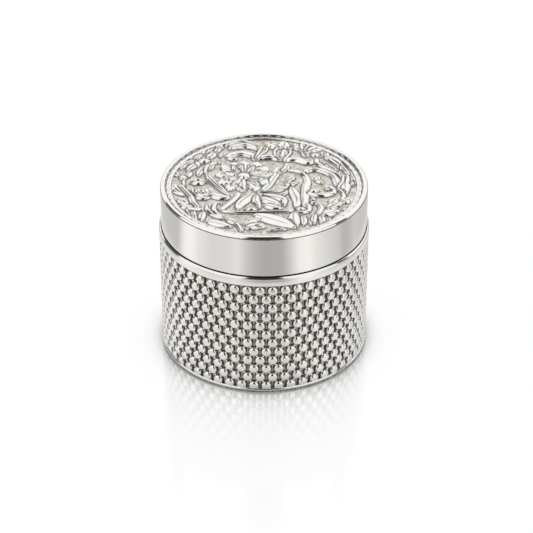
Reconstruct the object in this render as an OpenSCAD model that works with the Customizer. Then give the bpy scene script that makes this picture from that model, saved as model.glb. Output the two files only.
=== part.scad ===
// Round rosary box: a beaded drum with a lift-off lid, whose top carries a flower
// and leaf scrolls in relief. Millimetres, +Z up, origin at the middle of the underside.

/* [Body] */
// Diameter over the collar and over the tips of the beads
body_d = 44.8; // [40:0.1:70]
// Height from the table to the seat of the lid
body_h = 28.75; // [18:0.05:50]
// Height of the plain collar above the beads
collar_h = 2; // [1:0.1:4]
// Round on the upper edge of the collar
collar_round = 0.45; // [0.1:0.05:0.8]
// How far the collar stands out past the band of the lid
collar_step = 0.5; // [0:0.05:0.8]

/* [Beads] */
// Diameter of a bead
bead_d = 2.2; // [1.6:0.05:2.6]
// Spacing of the beads around the drum, measured at their tips
bead_pitch = 2.7; // [2.4:0.05:4]
// Spacing of the rows, each staggered by half a bead
row_pitch = 2.18; // [2:0.02:3.5]
// Height from the middle of the top row to the collar
top_row_drop = 1.4; // [1.3:0.05:2.5]
// How far the beads stand out from the wall of the drum
bead_stand = 1.4; // [1.3:0.05:1.5]
// Thickness of the drum's wall between the beads
drum_t = 0.35; // [0.25:0.05:0.6]
// Turn of the top row, from the +X axis to the middle of its first bead
bead_turn = 4.75; // [0:0.05:9]

/* [Base] */
// Thickness of the base plate, whose edge is the rim under the beads
base_t = 0.9; // [0.6:0.05:2]
// How far the edge of the base plate stands out past the beads
base_proud = 0.1; // [0:0.05:0.5]
// Round on the edge of the base plate
base_round = 0.3; // [0.1:0.05:0.3]

/* [Neck] */
// Height that the neck stands above the lid's seat
neck_h = 5; // [2:0.1:6]
// Wall of the neck sleeve
neck_t = 0.7; // [0.4:0.05:1.2]
// Clearance between the neck and the lid, on the radius
lid_fit = 0.1; // [0.05:0.01:0.3]
// Solder gap beside a soldered sleeve or wire, on the radius
solder_gap = 0.05; // [0.02:0.01:0.1]

/* [Lid] */
// Height of the lid from its seat to the crest of its rim
lid_h = 9.35; // [8:0.05:20]
// Round on the lower edge of the band
lid_round = 0.3; // [0.1:0.05:0.5]
// Height of the rim wire above the band
rim_h = 1.1; // [0.9:0.05:1.5]
// Width of the rim wire over the plate
rim_w = 1; // [0.9:0.05:2]
// How far the rim wire stands out past the band
rim_proud = 0; // [0:0.05:0.3]

/* [Relief] */
// Thickness of the plate that carries the relief
plate_t = 0.5; // [0.3:0.05:0.7]
// Width of the chased border wire inside the rim
border_w = 1.3; // [0.8:0.05:2]
// Number of leaflets chased on the border wire
border_leaflets = 58; // [24:1:90]
// Height of the leaves, stems and outer petals above the ground of the plate
leaf_h = 0.35; // [0.1:0.05:0.4]
// Height of the inner petals above the ground of the plate
petal_h = 0.45; // [0.1:0.05:0.5]
// Height of the flower's boss above the ground of the plate
boss_h = 0.55; // [0.1:0.05:0.55]
// Thickness of the disc that closes the back of the plate
backing_t = 0.5; // [0.3:0.05:1]

/* [Lining] */
// Thickness of the velvet on the wall
wall_lining_t = 0.5; // [0.3:0.05:1]
// Thickness of the velvet pad on the floor
floor_lining_t = 1.5; // [0.8:0.05:3]
// Thickness of the velvet pad in the lid
lid_lining_t = 1; // [0.5:0.05:1.5]
// How far the wall lining ends below the lip of the neck
lining_drop = 0.8; // [0.4:0.05:2]
// Gap that keeps a lining off the wall beside it
lining_gap = 0.12; // [0.05:0.01:0.2]

/* [Hidden] */
$fn = 180;
small_fn = 48;
bead_fn = 32;
past = 1;

silver = "#d9d6cf";
dark_silver = "#b3aca2";
velvet = "#5b1220";

body_r = body_d / 2;
bead_r = bead_d / 2;
base_r = body_r + base_proud;
collar_z = body_h - collar_h;

// The drum is a stack of rings with a flat seat for each bead.
seat_r = body_r - bead_stand;
drum_bore_r = seat_r - drum_t;
bead_mid_r = body_r - bead_r;
beads_per_row = round(PI * body_d / bead_pitch);
bead_step = 360 / beads_per_row;
top_row_z = collar_z - top_row_drop;
bead_rows = floor((top_row_z - base_t) / row_pitch) + 1;
seat_h = min(row_pitch, 2 * top_row_drop);

neck_r = drum_bore_r - solder_gap;
neck_bore_r = neck_r - neck_t;
neck_top = body_h + neck_h;

lid_r = body_r - collar_step;
lid_bore_r = neck_r + lid_fit;
lid_top = body_h + lid_h;
band_top = lid_top - rim_h;
plate_top = band_top + plate_t;
plate_r = (lid_bore_r + lid_r) / 2;
rim_r = lid_r + rim_proud;
rim_soft = 0.8 * (rim_h - plate_t);
border_r = rim_r - rim_w;
border_h = leaf_h / 2;
field_r = border_r - border_w;
relief_r = field_r - solder_gap;
backing_r = lid_bore_r - lining_gap;
backing_z = band_top - backing_t;

wall_lining_r = neck_bore_r - lining_gap;
cavity_r = wall_lining_r - wall_lining_t;
floor_lining_r = cavity_r - lining_gap;
lid_lining_r = neck_bore_r;
pad_round = 0.4;

// The relief is drawn in a field of this radius and grows with the lid.
drawn_r = 19.6;
grown = field_r / drawn_r;
flower_at = [-4.3, 3.7];
boss_r = 1.35 * grown;

// Each stroke is its greatest width and the points that its middle line runs through.
leaves = [
  [1.3, [[-8.6, 16.0], [-7.2, 17.9], [-4.6, 18.4], [-2.4, 17.5]]],
  [1.9, [[-7.8, 15.1], [-5.9, 16.8], [-3.6, 16.9], [-1.4, 14.9]]],
  [1.3, [[-13.9, 11.7], [-13.4, 13.5], [-12.4, 15.3]]],
  [1.1, [[-12.7, 12.0], [-11.9, 13.7], [-10.8, 15.5]]],
  [1.0, [[-10.4, 13.6], [-9.8, 15.0], [-8.7, 15.9]]],
  [0.9, [[-10.2, 15.3], [-9.6, 16.6], [-9.2, 18.3]]],
  [1.3, [[-17.5, 5.9], [-16.7, 8.0], [-15.3, 9.6]]],
  [1.0, [[-15.9, 5.8], [-15.2, 7.6], [-14.4, 9.0]]],
  [1.0, [[-18.7, 5.3], [-18.2, 4.2], [-17.8, 3.0]]],
  [1.0, [[-15.6, 5.4], [-16.1, 4.2], [-16.4, 2.8]]],
  [1.2, [[-13.6, 3.4], [-13.4, 5.4], [-12.4, 7.6]]],
  [1.25, [[-12.2, 5.0], [-11.4, 2.6], [-10.2, 0.2], [-8.8, -2.0], [-6.9, -4.9]]],
  [2.6, [[3.4, 15.6], [2.0, 17.0], [0.3, 17.4]]],
  [2.6, [[3.6, 15.7], [4.2, 17.2], [3.6, 19.0]]],
  [1.3, [[3.9, 11.0], [4.2, 13.2], [4.2, 15.4]]],
  [1.7, [[-0.6, 10.8], [1.2, 11.8], [3.8, 10.1]]],
  [1.1, [[8.4, 14.0], [7.6, 15.6], [6.2, 17.4]]],
  [1.0, [[8.5, 14.2], [8.4, 16.0], [8.0, 17.9]]],
  [1.0, [[8.6, 14.2], [9.3, 15.8], [9.1, 17.8]]],
  [1.8, [[10.0, 13.7], [11.4, 14.6], [13.0, 14.6]]],
  [1.0, [[12.0, 13.6], [12.7, 12.6], [12.5, 11.4]]],
  [0.9, [[9.9, 13.2], [9.4, 12.4], [9.6, 11.4]]],
  [1.1, [[12.8, 9.7], [13.9, 7.7], [15.6, 5.6]]],
  [1.8, [[14.0, 13.0], [15.0, 10.6], [16.5, 8.0], [17.2, 5.6]]],
  [1.1, [[16.6, 7.6], [17.3, 5.6], [18.5, 3.2]]],
  [1.0, [[16.8, 10.4], [17.7, 8.6], [18.4, 6.0]]],
  [1.9, [[17.6, 4.2], [17.4, 1.2], [17.2, -1.2], [17.4, -3.9]]],
  [1.0, [[18.6, 3.6], [18.9, 1.6], [18.7, -0.8]]],
  [2.0, [[2.0, 3.6], [2.8, 5.4], [3.1, 7.4]]],
  [1.1, [[3.6, 5.0], [4.6, 7.2], [4.5, 9.4]]],
  [0.8, [[4.0, 5.2], [5.3, 6.6], [5.6, 8.2]]],
  [1.15, [[-1.6, -3.1], [1.0, -2.6], [3.5, -2.1], [5.4, -0.5]]],
  [1.15, [[-1.6, -3.5], [1.5, -4.1], [4.0, -3.7], [5.5, -1.6]]],
  [1.9, [[5.6, -0.6], [6.2, -3.6], [6.9, -6.6], [6.5, -10.2]]],
  [3.1, [[-1.2, -4.2], [1.4, -5.4], [3.2, -6.9], [4.3, -8.9]]],
  [1.6, [[0.0, -7.6], [1.6, -9.2], [3.7, -9.7]]],
  [2.1, [[6.4, -10.9], [6.2, -13.6], [6.7, -17.2]]],
  [3.2, [[-2.1, -11.8], [1.0, -13.3], [4.0, -15.2], [6.6, -17.5]]],
  [1.3, [[8.9, -4.8], [10.0, -5.9], [10.3, -7.4]]],
  [0.9, [[9.6, -11.6], [9.2, -13.8], [9.8, -16.3]]],
  [1.1, [[10.6, -11.4], [10.2, -13.8], [10.4, -16.1]]],
  [1.0, [[11.4, -12.8], [11.8, -14.4], [11.0, -16.0]]],
  [0.9, [[11.9, -12.0], [12.6, -13.6], [12.2, -15.3]]],
  [2.1, [[11.5, -12.0], [13.5, -11.0], [15.6, -11.0]]],
  [1.7, [[13.1, -9.9], [14.6, -8.4], [16.4, -7.3]]],
  [0.9, [[13.8, -7.6], [14.0, -6.4], [15.0, -6.0]]],
  [1.2, [[16.2, -6.6], [17.6, -5.9], [19.0, -6.0]]],
  [0.9, [[17.9, -8.2], [17.2, -9.4], [16.2, -10.2]]],
  [1.0, [[7.6, -13.0], [8.2, -14.8], [7.8, -16.8]]],
  [2.0, [[-19.1, 0.2], [-18.0, -2.7], [-15.5, -5.0]]],
  [1.1, [[-15.1, -1.2], [-14.6, -4.0], [-13.0, -5.2], [-11.0, -5.4]]],
  [1.4, [[-11.9, -1.2], [-12.2, -3.0], [-11.5, -5.0]]],
  [2.0, [[-11.3, -3.0], [-9.3, -4.4], [-6.7, -5.5]]],
  [2.2, [[-1.9, -3.8], [-3.8, -6.2], [-5.0, -8.4], [-5.4, -10.9]]],
  [1.3, [[-1.4, -3.9], [-1.5, -6.5], [-0.8, -9.6]]],
  [1.5, [[-11.3, -7.6], [-10.9, -10.0], [-9.8, -12.3], [-8.2, -13.9]]],
  [1.4, [[-17.9, -6.6], [-16.4, -8.6], [-14.6, -9.5], [-12.3, -10.4]]],
  [1.5, [[-18.0, -5.9], [-16.2, -6.4], [-14.9, -8.2]]],
  [1.3, [[-12.7, -10.8], [-12.6, -13.0], [-11.8, -15.3]]],
  [0.9, [[-14.2, -10.4], [-14.3, -12.0], [-13.5, -14.0]]],
  [0.8, [[-15.3, -9.9], [-15.6, -11.2], [-14.9, -12.4]]],
  [2.0, [[-11.6, -14.9], [-9.0, -15.5], [-6.2, -17.3]]],
  [1.2, [[-7.8, -12.9], [-6.6, -13.8], [-5.4, -15.4]]],
  [1.4, [[-2.4, -13.5], [-3.4, -15.0], [-4.4, -17.4]]],
  [1.7, [[-4.0, -17.7], [-2.0, -16.6], [0.4, -16.6]]],
  [1.0, [[0.4, -18.2], [2.5, -17.3], [4.8, -17.5]]],
  [1.0, [[11.4, 0.2], [10.4, 2.2], [11.2, 4.4]]],
  [1.0, [[11.7, 0.4], [12.7, 2.0], [12.6, 3.9]]],
  [1.0, [[6.4, 3.4], [6.4, 1.4], [7.4, -1.2]]],
  [1.2, [[4.6, 3.6], [4.0, 1.8], [4.6, -0.2]]],
  [0.9, [[-14.6, 10.6], [-14.0, 8.9], [-14.0, 7.2]]],
  [1.0, [[-9.8, 11.2], [-11.0, 10.9], [-11.8, 9.4]]],
  [1.0, [[13.0, 14.0], [13.4, 12.8], [12.9, 11.2]]],
  [0.9, [[13.2, -14.2], [14.3, -13.4], [15.2, -12.2]]]
];

stems = [
  [0.55, [[-1.8, 10.2], [-1.5, 12.4], [-1.1, 14.4], [-0.5, 16.0]]],
  [0.5, [[-1.6, 10.6], [-1.2, 12.0], [0.0, 14.2], [0.6, 16.2]]],
  [0.5, [[-17.0, 2.2], [-16.8, 0.4], [-16.6, -1.6]]],
  [0.6, [[-9.0, 9.3], [-10.8, 8.9], [-12.0, 7.6], [-12.4, 5.6], [-12.1, 4.4]]],
  [0.5, [[-13.0, 3.4], [-12.2, 1.6], [-11.7, -0.2], [-11.0, -1.8]]],
  [0.6, [[-15.4, 0.5], [-14.7, 1.7], [-13.4, 2.0], [-12.2, 1.0]]],
  [0.5, [[3.8, 9.9], [3.0, 12.2], [2.7, 14.2], [3.2, 16.0]]],
  [0.5, [[4.0, 9.9], [5.0, 12.2], [5.4, 14.0], [4.6, 15.6]]],
  [0.6, [[5.6, 15.0], [7.0, 14.8], [8.1, 13.4], [8.8, 11.6]]],
  [0.7, [[11.3, 11.2], [11.6, 9.4], [12.5, 7.8], [14.0, 6.0], [15.2, 4.4]]],
  [1.4, [[8.8, 5.0], [10.2, 5.9], [12.4, 5.6], [14.3, 4.0], [15.3, 1.8], [15.5, -0.6]]],
  [0.5, [[16.7, 3.2], [16.6, 1.4], [15.9, -0.2], [15.5, -1.6]]],
  [0.6, [[15.5, -1.6], [16.5, -3.2], [16.8, -4.6], [16.2, -6.2]]],
  [1.3, [[-0.4, -2.6], [0.9, -0.4], [1.7, 2.2], [2.5, 4.6]]],
  [0.75, [[-8.8, -10.5], [-5.0, -11.1], [0.0, -11.0], [4.0, -10.9], [6.2, -10.5]]],
  [0.75, [[6.6, -11.1], [8.2, -11.3], [9.6, -10.8], [10.0, -9.4], [9.4, -8.0]]],
  [0.9, [[9.4, -7.2], [11.0, -7.4], [11.8, -9.0], [11.2, -11.2]]],
  [0.95, [[-17.3, -0.2], [-16.2, -2.4], [-14.9, -5.0], [-13.7, -7.8], [-12.3, -10.2]]],
  [0.85, [[-5.4, -3.3], [-6.1, -5.5], [-7.3, -8.0], [-9.0, -10.5]]],
  [0.8, [[-8.2, -13.8], [-6.6, -15.0], [-5.3, -16.2], [-4.5, -18.4]]]
];

curls = [
  [2.0, [[-1.8, 10.4], [-2.6, 12.4], [-4.6, 13.2], [-6.6, 12.9], [-7.7, 11.9], [-7.2, 10.7], [-5.9, 10.4]]],
  [1.8, [[4.2, 9.9], [5.8, 10.8], [7.6, 10.4], [9.4, 9.2], [10.6, 9.4], [10.6, 10.6]]],
  [1.6, [[8.6, -10.0], [8.7, -5.0], [8.8, -1.0], [9.1, 1.6], [8.8, 3.6], [7.4, 5.4], [5.6, 6.2]]],
  [1.15, [[8.8, -3.2], [10.4, -4.1], [12.6, -4.2], [14.4, -3.2], [14.7, -1.7], [13.6, -0.8]]],
  [0.9, [[-8.2, -13.2], [-9.6, -11.6], [-10.4, -9.6], [-10.1, -7.8], [-9.2, -7.3]]]
];

outer_petals = [
  [3.0, [[-5.0, 5.4], [-6.2, 7.6], [-6.6, 9.4]]], [3.2, [[-4.1, 5.4], [-4.2, 7.8], [-4.2, 9.8]]],
  [3.2, [[-3.0, 5.2], [-1.9, 7.4], [-1.4, 9.5]]], [3.0, [[-2.6, 4.4], [-0.6, 6.0], [1.0, 7.3]]],
  [3.0, [[-2.4, 3.6], [0.0, 4.0], [1.9, 4.6]]], [3.0, [[-2.6, 2.6], [-0.6, 1.6], [0.9, 0.2]]],
  [2.8, [[-3.4, 1.8], [-2.0, -0.4], [-1.4, -2.6]]], [2.8, [[-4.6, 1.8], [-4.8, -0.6], [-3.9, -3.0]]],
  [2.8, [[-5.6, 2.2], [-6.8, 0.2], [-7.2, -2.6]]], [3.0, [[-6.2, 3.0], [-8.0, 1.6], [-9.6, 0.2]]],
  [3.0, [[-6.4, 4.0], [-8.6, 4.2], [-10.4, 4.0]]], [3.0, [[-6.0, 5.0], [-7.8, 6.6], [-9.2, 7.8]]]
];

inner_petals = [
  [1.4, [[-4.5, 4.6], [-5.0, 6.6], [-4.7, 8.6]]], [1.4, [[-3.6, 4.4], [-2.7, 6.4], [-2.1, 8.1]]],
  [1.4, [[-3.3, 4.2], [-1.6, 5.2], [0.0, 5.3]]], [1.4, [[-3.3, 3.2], [-1.4, 2.4], [0.2, 2.4]]],
  [1.4, [[-3.6, 2.8], [-1.9, 0.9], [-0.9, -0.9]]], [1.6, [[-4.4, 2.8], [-4.5, 0.0], [-3.9, -2.4]]],
  [1.4, [[-5.0, 2.8], [-6.0, 0.8], [-6.9, -0.6]]], [1.4, [[-5.4, 3.4], [-7.2, 2.4], [-8.3, 2.0]]],
  [1.4, [[-5.4, 3.9], [-7.4, 4.6], [-8.6, 5.0]]], [1.4, [[-5.0, 4.4], [-6.2, 6.4], [-6.8, 8.2]]]
];

// Buds as [x, y, radius]
buds = [
  [-12.9, 10.1, 1], [-9.5, 12.3, 0.55], [-17.2, 2.9, 0.75], [-13.6, 0.4, 1], [11.1, 12.5, 0.8],
  [10.5, -2.5, 0.75], [13.3, -1.9, 0.45], [7.6, -9.8, 0.7], [-2.7, -10.0, 0.7], [18.6, 0.6, 0.6]
];

// Half width of a stroke, as a share of its greatest, for t from 0 at its foot to 1 at its tip
function leaf_share(t) = pow(sin(180 * pow(t, 0.85)), 0.75) / 2;
function stem_share(t) = sqrt(min(1, 6 * sin(180 * t))) / 2;
function curl_share(t) = stem_share(t) * (0.4 + 0.6 * pow(sin(min(180, 225 * t)), 0.8));

// A smooth line through points, at u from 0 to the number of its spans
function beyond(p, i) =
  i < 0 ? 2 * p[0] - p[1] : i < len(p) ? p[i] : 2 * p[len(p) - 1] - p[len(p) - 2];
function on_line(p, u) =
  let (
    i = min(floor(u), len(p) - 2),
    f = u - i,
    a = beyond(p, i - 1),
    b = beyond(p, i),
    c = beyond(p, i + 1),
    d = beyond(p, i + 2)
  )
  (2 * b + (c - a) * f + (2 * a - 5 * b + 4 * c - d) * f * f + (3 * b - a - 3 * c + d) * f * f * f) / 2;
function across(p, u) =
  let (run = on_line(p, u + 0.01) - on_line(p, u - 0.01))
  [-run.y, run.x] / norm(run);

// Outline of a stroke from the shares of its half width, its ends sampled more closely.
module stroke(width, points, shares) {
  spans = len(points) - 1;
  n = len(shares) - 1;
  function at(i, side) =
    let (u = spans * (1 - cos(180 * i / n)) / 2)
    grown * (on_line(points, u) + side * width * shares[i] * across(points, u));
  polygon(concat([for (i = [0 : n]) at(i, 1)], [for (i = [n - 1 : -1 : 1]) at(i, -1)]));
}

module leaf(width, points) {
  n = 5 * (len(points) - 1);
  stroke(width, points, [for (i = [0 : n]) i < n ? leaf_share((1 - cos(180 * i / n)) / 2) : 0]);
}

module stem(width, points) {
  n = 6 * (len(points) - 1);
  stroke(width, points, [for (i = [0 : n]) i < n ? stem_share((1 - cos(180 * i / n)) / 2) : 0]);
}

module curl(width, points) {
  n = 6 * (len(points) - 1);
  stroke(width, points, [for (i = [0 : n]) i < n ? curl_share((1 - cos(180 * i / n)) / 2) : 0]);
}

// What the rounding of a corner takes away, for a corner with its material below and to the left.
module corner_cut(at, r, turn) {
  if (r > 0)
    translate(at)
      rotate(turn)
        translate([-r, -r])
          difference() {
            square(2 * r);
            circle(r = r, $fn = small_fn);
          }
}

// Section of a ring whose outer lower and upper corners are rounded.
module ring_section(inner, outer, low, high, round_low, round_high) {
  difference() {
    translate([inner, low]) square([outer - inner, high - low]);
    corner_cut([outer, low], round_low, -90);
    corner_cut([outer, high], round_high, 0);
  }
}

// A low dome on the ground of the plate.
module dome(r, h) {
  ball_r = (r * r + h * h) / (2 * h);
  difference() {
    translate([0, 0, h - ball_r]) sphere(r = ball_r, $fn = small_fn);
    translate([0, 0, -2 * ball_r]) cylinder(r = 2 * ball_r, h = 2 * ball_r);
  }
}

module base_plate() {
  color(silver) rotate_extrude() ring_section(0, base_r, 0, base_t, base_round, base_round);
}

// One ring of the drum, with a bead on each of its flats.
module bead_ring() {
  corner_r = seat_r / cos(bead_step / 2);
  linear_extrude(height = seat_h, center = true)
    polygon([
      for (k = [0 : beads_per_row - 1])
        corner_r * [cos((k + 0.5) * bead_step), sin((k + 0.5) * bead_step)]
    ]);
  for (k = [0 : beads_per_row - 1])
    rotate(k * bead_step)
      translate([bead_mid_r, 0, 0])
        rotate([0, 90, 0]) sphere(r = bead_r, $fn = bead_fn);
}

module bead_drum() {
  color(silver)
    difference() {
      union() {
        translate([0, 0, base_t]) cylinder(r = seat_r, h = collar_z - base_t);
        for (i = [0 : bead_rows - 1])
          translate([0, 0, top_row_z - i * row_pitch])
            rotate(bead_turn + (i % 2) * bead_step / 2) bead_ring();
      }
      translate([0, 0, -past]) cylinder(r = drum_bore_r, h = body_h);
      translate([0, 0, base_t - row_pitch - past])
        cylinder(r = body_r + past, h = row_pitch + past);
    }
}

module body_collar() {
  color(silver) rotate_extrude() ring_section(drum_bore_r, body_r, collar_z, body_h, 0, collar_round);
}

// A sleeve that stands on the base plate, its upper lip rounded over.
module sleeve(inner, wall, top) {
  rotate_extrude() {
    translate([inner, base_t]) square([wall, top - base_t - wall / 2]);
    translate([inner + wall / 2, top - wall / 2]) circle(d = wall, $fn = small_fn);
  }
}

module neck_sleeve() {
  color(silver) sleeve(neck_bore_r, neck_t, neck_top);
}

module wall_lining() {
  color(velvet) sleeve(cavity_r, wall_lining_t, neck_top - lining_drop);
}

module floor_lining() {
  color(velvet)
    rotate_extrude() ring_section(0, floor_lining_r, base_t, base_t + floor_lining_t, 0, pad_round);
}

module lid_band() {
  color(silver) rotate_extrude() ring_section(lid_bore_r, lid_r, body_h, band_top, lid_round, 0);
}

module lid_backing() {
  color(silver) translate([0, 0, backing_z]) cylinder(r = backing_r, h = backing_t);
}

module lid_plate() {
  color(dark_silver) {
    translate([0, 0, band_top]) cylinder(r = plate_r, h = plate_t);
    translate([0, 0, plate_top]) {
      linear_extrude(height = leaf_h)
        intersection() {
          union() {
            for (s = leaves) leaf(s[0], s[1]);
            for (s = stems) stem(s[0], s[1]);
            for (s = curls) curl(s[0], s[1]);
            for (s = outer_petals) leaf(s[0], s[1]);
            for (b = buds) translate(grown * [b[0], b[1]]) circle(r = b[2] * grown, $fn = small_fn);
          }
          circle(r = relief_r);
        }
      linear_extrude(height = petal_h)
        for (s = inner_petals) leaf(s[0], s[1]);
      translate(grown * flower_at) dome(boss_r, boss_h);
    }
  }
}

module lid_border() {
  leaflet_r = 0.36 * border_w;
  color(silver)
    translate([0, 0, plate_top]) {
      rotate_extrude() translate([field_r, 0]) square([border_w - solder_gap, border_h]);
      for (k = [0 : border_leaflets - 1])
        rotate(k * 360 / border_leaflets)
          translate([field_r + border_w / 2, 0, border_h / 2])
            dome(leaflet_r, border_h);
    }
}

// The rim wire sits on the edge of the plate and laps over its side, down to the band.
module lid_rim() {
  color(silver)
    rotate_extrude()
      difference() {
        union() {
          translate([plate_r + solder_gap, band_top])
            square([rim_r - plate_r - solder_gap, lid_top - band_top]);
          translate([border_r, plate_top]) square([rim_r - border_r, lid_top - plate_top]);
        }
        corner_cut([rim_r, lid_top], rim_soft, 0);
        corner_cut([border_r, lid_top], rim_soft / 2, 90);
      }
}

module lid_lining() {
  color(velvet)
    rotate_extrude() ring_section(0, lid_lining_r, backing_z - lid_lining_t, backing_z, pad_round, 0);
}

base_plate();
bead_drum();
body_collar();
neck_sleeve();
wall_lining();
floor_lining();
lid_band();
lid_backing();
lid_plate();
lid_border();
lid_rim();
lid_lining();
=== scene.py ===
import math

import bmesh
import bpy
import numpy as np
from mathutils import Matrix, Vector


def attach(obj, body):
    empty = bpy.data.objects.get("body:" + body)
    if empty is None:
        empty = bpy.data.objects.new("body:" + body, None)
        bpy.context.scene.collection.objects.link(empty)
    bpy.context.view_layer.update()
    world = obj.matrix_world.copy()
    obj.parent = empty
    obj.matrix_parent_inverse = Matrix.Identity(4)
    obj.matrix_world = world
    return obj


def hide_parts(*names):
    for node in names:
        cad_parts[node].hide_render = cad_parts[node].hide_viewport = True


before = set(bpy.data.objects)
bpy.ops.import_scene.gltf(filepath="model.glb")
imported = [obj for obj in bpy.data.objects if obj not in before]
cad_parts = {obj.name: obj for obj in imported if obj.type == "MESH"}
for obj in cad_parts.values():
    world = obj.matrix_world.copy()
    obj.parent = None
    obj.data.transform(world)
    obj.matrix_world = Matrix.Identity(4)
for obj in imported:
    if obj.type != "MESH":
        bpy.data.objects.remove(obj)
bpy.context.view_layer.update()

# ------------------------ sizes in mm, as in the CAD model

MM = 0.001

BODY_R = 22.4
BODY_H = 28.75
COLLAR_H = 2.0
COLLAR_ROUND = 0.45
COLLAR_Z = BODY_H - COLLAR_H

BEADS_PER_ROW = 52
BEAD_ROWS = 12
ROW_PITCH = 2.18
TOP_ROW_Z = 25.35
BEAD_TURN = 4.75
SEAT_R = 21.0
DRUM_BORE_R = 20.65

BASE_R = 22.5
BASE_T = 0.9
BASE_ROUND = 0.3

NECK_R = 20.6
NECK_BORE_R = 19.9
NECK_TOP = 33.75

LID_R = 21.9
LID_BORE_R = 20.7
LID_TOP = 38.1
LID_ROUND = 0.3
BAND_TOP = 37.0
PLATE_TOP = 37.5
PLATE_R = 21.3
RIM_R = 21.9
RIM_SOFT = 0.48
RIM_LIP = 0.08
BORDER_R = 20.9
FIELD_R = 19.6
BORDER_SCALLOPS = 58
BACKING_R = 20.58
BACKING_Z = 36.5
SOLDER_GAP = 0.05

CAVITY_R = 19.28
WALL_LINING_R = 19.78
WALL_LINING_TOP = 32.95
FLOOR_PAD_R = 19.16
FLOOR_PAD_T = 1.5
LID_PAD_R = 19.9
LID_PAD_T = 1.0

# ------------------------ nodes and colours


def linear(hex_colour):
    """An sRGB hex value as a linear colour with alpha."""
    channels = [int(hex_colour[i : i + 2], 16) / 255 for i in (1, 3, 5)]
    return (
        *((c / 12.92 if c <= 0.04045 else ((c + 0.055) / 1.055) ** 2.4) for c in channels),
        1.0,
    )


def add(tree, kind, inputs=(), **settings):
    """Adds a node, where a kind in capitals is the operation of a math node. Inputs come by name
    or in order, and each is a value, an output, or a node whose first output feeds it. Those of
    a map range are the value, its range from and to, and the range that it becomes."""
    if kind.isupper():
        kind, settings["operation"] = "ShaderNodeMath", kind
    node = tree.nodes.new(kind)
    for name, value in settings.items():
        setattr(node, name, value)
    for name, value in inputs.items() if isinstance(inputs, dict) else enumerate(inputs):
        if isinstance(value, bpy.types.Node):
            value = next(output for output in value.outputs if output.enabled)
        if isinstance(value, bpy.types.NodeSocket):
            tree.links.new(value, node.inputs[name])
        else:
            node.inputs[name].default_value = value
    return node


def new_material(name):
    material = bpy.data.materials.new(name)
    material.use_nodes = True
    material.node_tree.nodes.clear()
    return material, material.node_tree


# ------------------------ materials


def tarnished_and_shaded(tree, place, bright, oxide_and_shade_hex, patch):
    """The colour of silver with oxide and painted shade on it, and how much of them there is, from
    the mesh's own value for both made uneven in patches of this size in mm."""
    laid = add(tree, "ShaderNodeAttribute", attribute_name="tarnish_and_shade").outputs["Fac"]
    spacing = {"Vector": place, "Scale": 1 / (patch * MM), "Detail": 3}
    patches = add(tree, "ShaderNodeTexNoise", spacing)
    uneven = add(tree, "ShaderNodeMapRange", [patches, 0.3, 0.7, 0.7, 1.3])
    oxide_and_shade = add(tree, "MULTIPLY", [laid, uneven], use_clamp=True)
    shades = {"Factor": oxide_and_shade, "A": bright, "B": linear(oxide_and_shade_hex)}
    return add(tree, "ShaderNodeMix", shades, data_type="RGBA"), oxide_and_shade


def polished_silver():
    """Silver, spun and buffed: mirror bright, with faint buffing lines round the piece, a little
    uneven gloss from handling, and brown-black oxide left where no cloth reaches. The same
    brown-black is painted as shade in the seam under the lid, in a line under the rim's rounding
    and along the foot of the base."""
    material, tree = new_material("polished silver")
    place = add(tree, "ShaderNodeTexCoord").outputs["Object"]
    colour, oxide_and_shade = tarnished_and_shaded(tree, place, linear("#F7F6F3"), "#1C1612", 0.5)

    # Buffing lines 0.12 mm apart run round the axis, so they depend on the height alone.
    spacing = (40, 40, 1 / (0.12 * MM))
    lines_place = add(tree, "ShaderNodeMapping", {"Vector": place, "Scale": spacing})
    lines = add(tree, "ShaderNodeTexNoise", {"Vector": lines_place, "Scale": 1, "Detail": 2})
    relief = add(
        tree, "ShaderNodeBump", {"Height": lines, "Strength": 0.15, "Distance": 0.004 * MM}
    )
    smears = add(tree, "ShaderNodeTexNoise", {"Vector": place, "Scale": 1 / (6 * MM), "Detail": 3})
    gloss = add(tree, "ShaderNodeMapRange", [smears, 0.3, 0.7, 0.05, 0.09])
    gloss = add(tree, "MULTIPLY_ADD", [oxide_and_shade, 0.35, gloss])
    look = {"Base Color": colour, "Metallic": 1.0, "Roughness": gloss, "Normal": relief}
    shader = add(tree, "ShaderNodeBsdfPrincipled", look)
    add(tree, "ShaderNodeOutputMaterial", {"Surface": shader})
    return material


def cast_silver(name, oxide_and_shade_hex):
    """Silver, cast and only lightly rubbed: a soft sheen with a faint grain, worn bright on the
    faces of the beads and dull with oxide in the hollows between them. Round the foot of each
    bead that dark is also painted shade."""
    material, tree = new_material(name)
    place = add(tree, "ShaderNodeTexCoord").outputs["Object"]
    colour, oxide_and_shade = tarnished_and_shaded(tree, place, linear("#F5F4F1"), oxide_and_shade_hex, 0.35)
    grain = add(tree, "ShaderNodeTexNoise", {"Vector": place, "Scale": 1 / (0.3 * MM), "Detail": 3})
    relief = add(tree, "ShaderNodeBump", {"Height": grain, "Strength": 0.25, "Distance": 0.02 * MM})
    gloss = add(tree, "MULTIPLY_ADD", [oxide_and_shade, 0.6, 0.12])
    # Where the oxide and painted shade are thick they hide the metal's own shine.
    bare = add(tree, "SUBTRACT", [1.0, oxide_and_shade])
    look = {"Base Color": colour, "Metallic": bare, "Roughness": gloss, "Normal": relief}
    shader = add(tree, "ShaderNodeBsdfPrincipled", look)
    add(tree, "ShaderNodeOutputMaterial", {"Surface": shader})
    return material


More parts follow.
